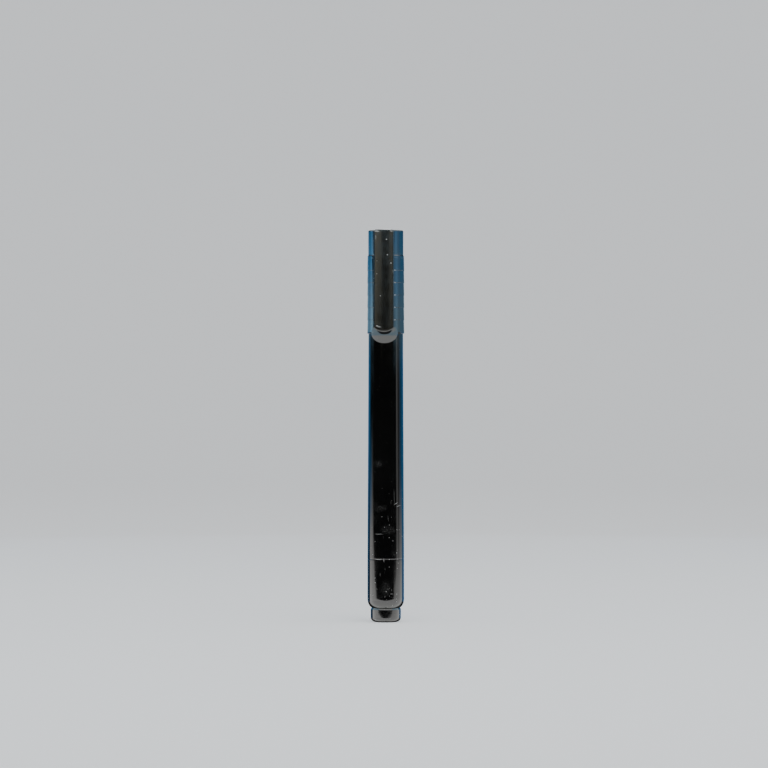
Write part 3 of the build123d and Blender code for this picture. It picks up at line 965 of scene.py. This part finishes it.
def clip_ring(turn, height):
    """Brightness of the part of the ring that the clip's shallow arch reflects."""
    left_fill = ramp([(0.140, 0.28), (0.146, 1.15)], height) * band(-27, -15.5, 1.0, turn)
    right_fill = ramp([(0.140, 0.6), (0.146, 1.08)], height) * band(5.5, 13, 1.0, turn)
    return left_fill + 1.9 * band(-32, -27, 0.8, turn) + right_fill + 0.5 * band(22, 40, 3, turn)


def ring_light(turn, height):
    """Colour and brightness of the reflector ring at an angle from the view and a height in metres."""
    side = abs(turn)
    upper = smooth(0.1185, 0.1215, height)
    bottom, top = smooth(-0.092, -0.104, height), smooth(0.200, 0.215, height)
    between = 1 - bottom - top
    fade = 1 - smooth(112, 135, side)
    neutral = GROUND_LIGHT * bottom * fade + RING_GLIMMER
    sky = SKY_LIGHT * top * fade
    warm = clip_ring(turn, height) * upper * between
    low = low_ring(turn, height) * (1 - upper) * between
    rim = ramp(LEFT_RIM, height) if turn < 0 else RIGHT_RIM
    blue = (cap_ring(turn, height) * upper + rim * (1 - upper) * smooth(116, 126, side)) * between
    # Reflections of the low ring turn blue towards the rims, and the blue deepens there
    cool = smooth(0.0, 0.05, height) * smooth(94, 110, side) * low
    low -= cool
    blue += cool
    # Straight behind the pen the ring is nearly neutral, so that the pen's back looks black
    behind = smooth(152, 170, side)
    blue *= 1 - 0.85 * behind
    neutral += 0.12 * behind * between
    deep = smooth(88, 112, side)
    # The cool light is palest at the foot of the cap and on the faces that look forward
    red_share = ramp(COOL_RED, height) + 0.14 * (1 - deep)
    blue_share = ramp(COOL_BLUE, height) - 0.22 * (1 - deep)
    red = neutral + 0.74 * sky + 1.04 * warm + low + red_share * blue
    green = neutral + sky + warm + low + blue
    return (red, green, neutral + 1.18 * sky + 0.8 * warm + 0.98 * low + blue_share * blue, 1.0)


def disc_light(turn, height):
    """Brightness of the discs that close the ring: it fades behind the pen."""
    light = DISC_LIGHT * (1 - smooth(112, 135, abs(turn))) + DISC_GLIMMER
    return (light * 0.99, light, light * 0.98, 1.0)


def make_ring():
    """Ring of soft reflectors round the pen, closed by a bright disc below and another above."""
    turns = 480
    heights = spread(-0.35, -0.11, 12) + spread(-0.108, 0.22, 218) + spread(0.23, 0.55, 16)
    bm = bmesh.new()
    layer = bm.verts.layers.float_color.new("glow")

    def circle(radius, height, light):
        ring = []
        for k in range(turns):
            turn = 360.0 * k / turns - 180.0
            vertex = bm.verts.new(towards(turn + CAMERA_TURN) * radius + Vector((0, 0, height)))
            vertex[layer] = light(turn, height)
            ring.append(vertex)
        return ring

    rings = [circle(RING_RADIUS, height, ring_light) for height in heights]
    discs = [[circle(radius, height, disc_light) for radius in (0.02, RING_RADIUS)]
             for height in (heights[0], heights[-1])]
    for lower, upper in list(zip(rings, rings[1:])) + discs:
        for k in range(turns):
            nxt = (k + 1) % turns
            bm.faces.new((lower[k], lower[nxt], upper[nxt], upper[k]))
    mesh = bpy.data.meshes.new("reflector_ring")
    bm.to_mesh(mesh)
    bm.free()
    ring = bpy.data.objects.new("reflector_ring", mesh)
    bpy.context.collection.objects.link(ring)
    mesh.materials.append(plain_material("reflector_glow", "glow", 1.0))
    return gloss_only(ring)


def make_sparks():
    """The small bright source overhead that only catches rounded edges, as a list of one."""
    centre, radius, strength = Vector((0.019, -0.038, 0.54)), 0.076, 70.0
    bm = bmesh.new()
    bmesh.ops.create_circle(bm, cap_ends=True, radius=radius, segments=32)
    mesh = bpy.data.meshes.new("spark_top")
    bm.to_mesh(mesh)
    bm.free()
    spark = bpy.data.objects.new("spark_top", mesh)
    bpy.context.collection.objects.link(spark)
    spark.location = centre
    aim = Vector((0, 0, 0.1)) - centre
    spark.rotation_euler = aim.to_track_quat("Z", "Y").to_euler()
    mesh.materials.append(plain_material("spark_top", rgb(1, 1, 1), strength))
    return [gloss_only(spark)]


def make_lights():
    """One large soft box above, a little in front of the pen."""
    box = bpy.data.lights.new("soft_box", "AREA")
    box.shape = "SQUARE"
    box.size = 1.4
    box.energy = 16
    lamp = bpy.data.objects.new("soft_box", box)
    bpy.context.collection.objects.link(lamp)
    lamp.location = (0.25, -0.55, 1.7)
    aim = Vector((0, 0, 0.07)) - lamp.location
    lamp.rotation_euler = aim.to_track_quat("-Z", "Y").to_euler()


def make_world():
    world = bpy.data.worlds.new("studio_dark")
    world.use_nodes = True
    background = world.node_tree.nodes["Background"]
    background.inputs["Color"].default_value = rgb(0.012, 0.013, 0.015)
    background.inputs["Strength"].default_value = 1.0
    bpy.context.scene.world = world


def make_camera():
    """Level camera, square to the pen, turned a little to the right of the clip."""
    data = bpy.data.cameras.new("camera")
    data.lens = CAMERA_LENS
    data.sensor_width = SENSOR
    camera = bpy.data.objects.new("camera", data)
    bpy.context.collection.objects.link(camera)
    back = towards(CAMERA_TURN)
    right = towards(CAMERA_TURN + 90)
    distance = VIEW_WIDTH / 2 / (SENSOR / 2 / CAMERA_LENS)
    camera.location = back * distance + right * VIEW_CENTRE_SIDE + Vector((0, 0, VIEW_CENTRE_Z))
    camera.rotation_euler = (-back).to_track_quat("-Z", "Y").to_euler()
    data.clip_start, data.clip_end = 0.05, 20.0
    bpy.context.scene.camera = camera


make_bowl()
make_ring()
make_sparks()
make_lights()
make_world()
make_camera()
